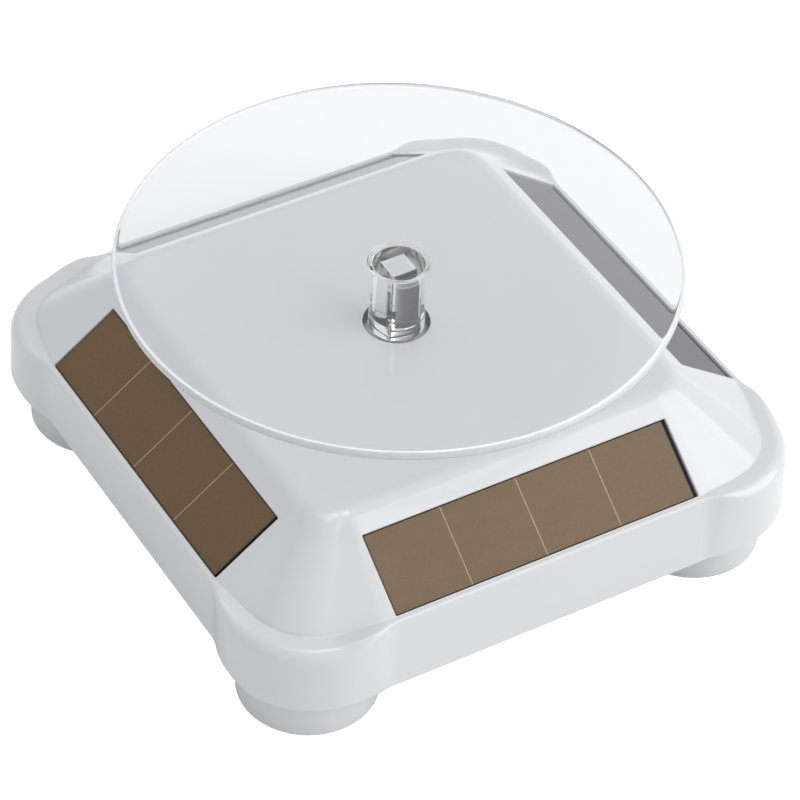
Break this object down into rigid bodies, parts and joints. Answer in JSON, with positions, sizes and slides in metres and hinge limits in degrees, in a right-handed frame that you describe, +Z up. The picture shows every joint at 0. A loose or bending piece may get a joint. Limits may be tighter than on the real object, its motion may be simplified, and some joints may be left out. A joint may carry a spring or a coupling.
{
  "type": "turntable display stand",
  "caption": "Square white base with sloping solar panels and round feet, whose geared motor turns a clear round display disc on a clear hub.",
  "frame": {"origin": "on the disc's spin axis, at the level of the undersides of the feet", "axes": "+Z up along the spin axis; -Y towards the panel over the battery bay; +X towards the panel on its right"},
  "size_m": [0.1092, 0.1102, 0.0504],
  "materials": {
    "housing_white": "gloss moulded",
    "cover_white": "satin moulded",
    "door_white": "satin moulded",
    "solar_cell": "polished glass over brown cells",
    "foam_black": "matt foam",
    "disc_clear": "clear polished acrylic",
    "hub_clear": "clear moulded acrylic",
    "cell_sleeve": "printed sleeve with no text",
    "contact_steel": "nickel plated",
    "gear_white": "moulded acetal",
    "gear_ivory": "moulded acetal",
    "axle_steel": "ground",
    "pinion_brass": "cut",
    "motor_steel": "drawn",
    "motor_black": "moulded",
    "screw_steel": "zinc plated",
    "board_green": "solder resist",
    "capacitor_black": "sleeve",
    "diode_black": "moulded",
    "switch_steel": "stamped",
    "switch_black": "moulded",
    "lead_red": "insulation",
    "lead_black": "insulation"
  },
  "bodies": {
    "base": {"upper_housing": "housing_white", "bottom_cover": "cover_white", "solar_panel_front": "solar_cell", "solar_panel_right": "solar_cell", "solar_panel_back": "solar_cell", "solar_panel_left": "solar_cell", "panel_tape_front": "foam_black", "panel_tape_right": "foam_black", "panel_tape_back": "foam_black", "panel_tape_left": "foam_black", "aa_cell": "cell_sleeve", "battery_contact_plus": "contact_steel", "battery_contact_minus": "contact_steel", "battery_spring": "contact_steel", "gear_axle_1": "axle_steel", "gear_axle_2": "axle_steel", "thrust_washer": "axle_steel", "motor_can": "motor_steel", "motor_end_cap": "motor_black", "gear_plate": "gear_white", "plate_screw_1": "screw_steel", "plate_screw_2": "screw_steel", "plate_screw_3": "screw_steel", "case_screw_1": "screw_steel", "case_screw_2": "screw_steel", "case_screw_3": "screw_steel", "case_screw_4": "screw_steel", "circuit_board": "board_green", "board_screw_1": "screw_steel", "board_screw_2": "screw_steel", "storage_capacitor": "capacitor_black", "blocking_diode_1": "diode_black", "blocking_diode_2": "diode_black", "switch_body": "switch_steel", "lead_front_plus": "lead_red", "lead_front_minus": "lead_black", "lead_right_plus": "lead_red", "lead_right_minus": "lead_black", "lead_back_plus": "lead_red", "lead_back_minus": "lead_black", "lead_left_plus": "lead_red", "lead_left_minus": "lead_black", "motor_lead_plus": "lead_red", "motor_lead_minus": "lead_black", "battery_lead_plus": "lead_red", "battery_lead_minus": "lead_black"},
    "output": {"output_gear": "gear_white"},
    "platter": {"disc_hub": "hub_clear", "display_disc": "disc_clear"},
    "gear_1_body": {"gear_1": "gear_ivory"},
    "gear_2_body": {"gear_2": "gear_ivory"},
    "rotor": {"motor_shaft": "axle_steel", "motor_pinion": "pinion_brass"},
    "door": {"battery_door": "door_white"},
    "switch_knob": {"switch_slider": "switch_black"}
  },
  "joints": [
    {"name": "platter_spin", "type": "hinge", "parent": "base", "child": "output", "pos_m": [0, 0, 0.02], "axis": [0, 0, 1], "continuous": true},
    {"name": "platter_lift", "type": "slide", "parent": "output", "child": "platter", "axis": [0, 0, 1], "range_m": [0, 0.02]},
    {"name": "gear_1_spin", "type": "hinge", "parent": "base", "child": "gear_1_body", "pos_m": [-0.01545, 0.00414, 0.021], "axis": [0, 0, 1], "continuous": true},
    {"name": "gear_2_spin", "type": "hinge", "parent": "base", "child": "gear_2_body", "pos_m": [-0.00517, 0.0164, 0.025], "axis": [0, 0, 1], "continuous": true},
    {"name": "motor_spin", "type": "hinge", "parent": "base", "child": "rotor", "pos_m": [0.00794, 0.02558, 0.027], "axis": [0, 0, 1], "continuous": true},
    {"name": "battery_door_hinge", "type": "hinge", "parent": "base", "child": "door", "pos_m": [0, -0.03075, 0.01135], "axis": [1, 0, 0], "range_deg": [-75, 0]},
    {"name": "switch_slide", "type": "slide", "parent": "base", "child": "switch_knob", "axis": [1, 0, 0], "range_m": [0, 0.0025]}
  ],
  "couplings": [
    {"joint": "gear_1_spin", "follows": "platter_spin", "ratio": -4.3333},
    {"joint": "gear_2_spin", "follows": "platter_spin", "ratio": 18.778},
    {"joint": "motor_spin", "follows": "platter_spin", "ratio": -81.37}
  ]
}
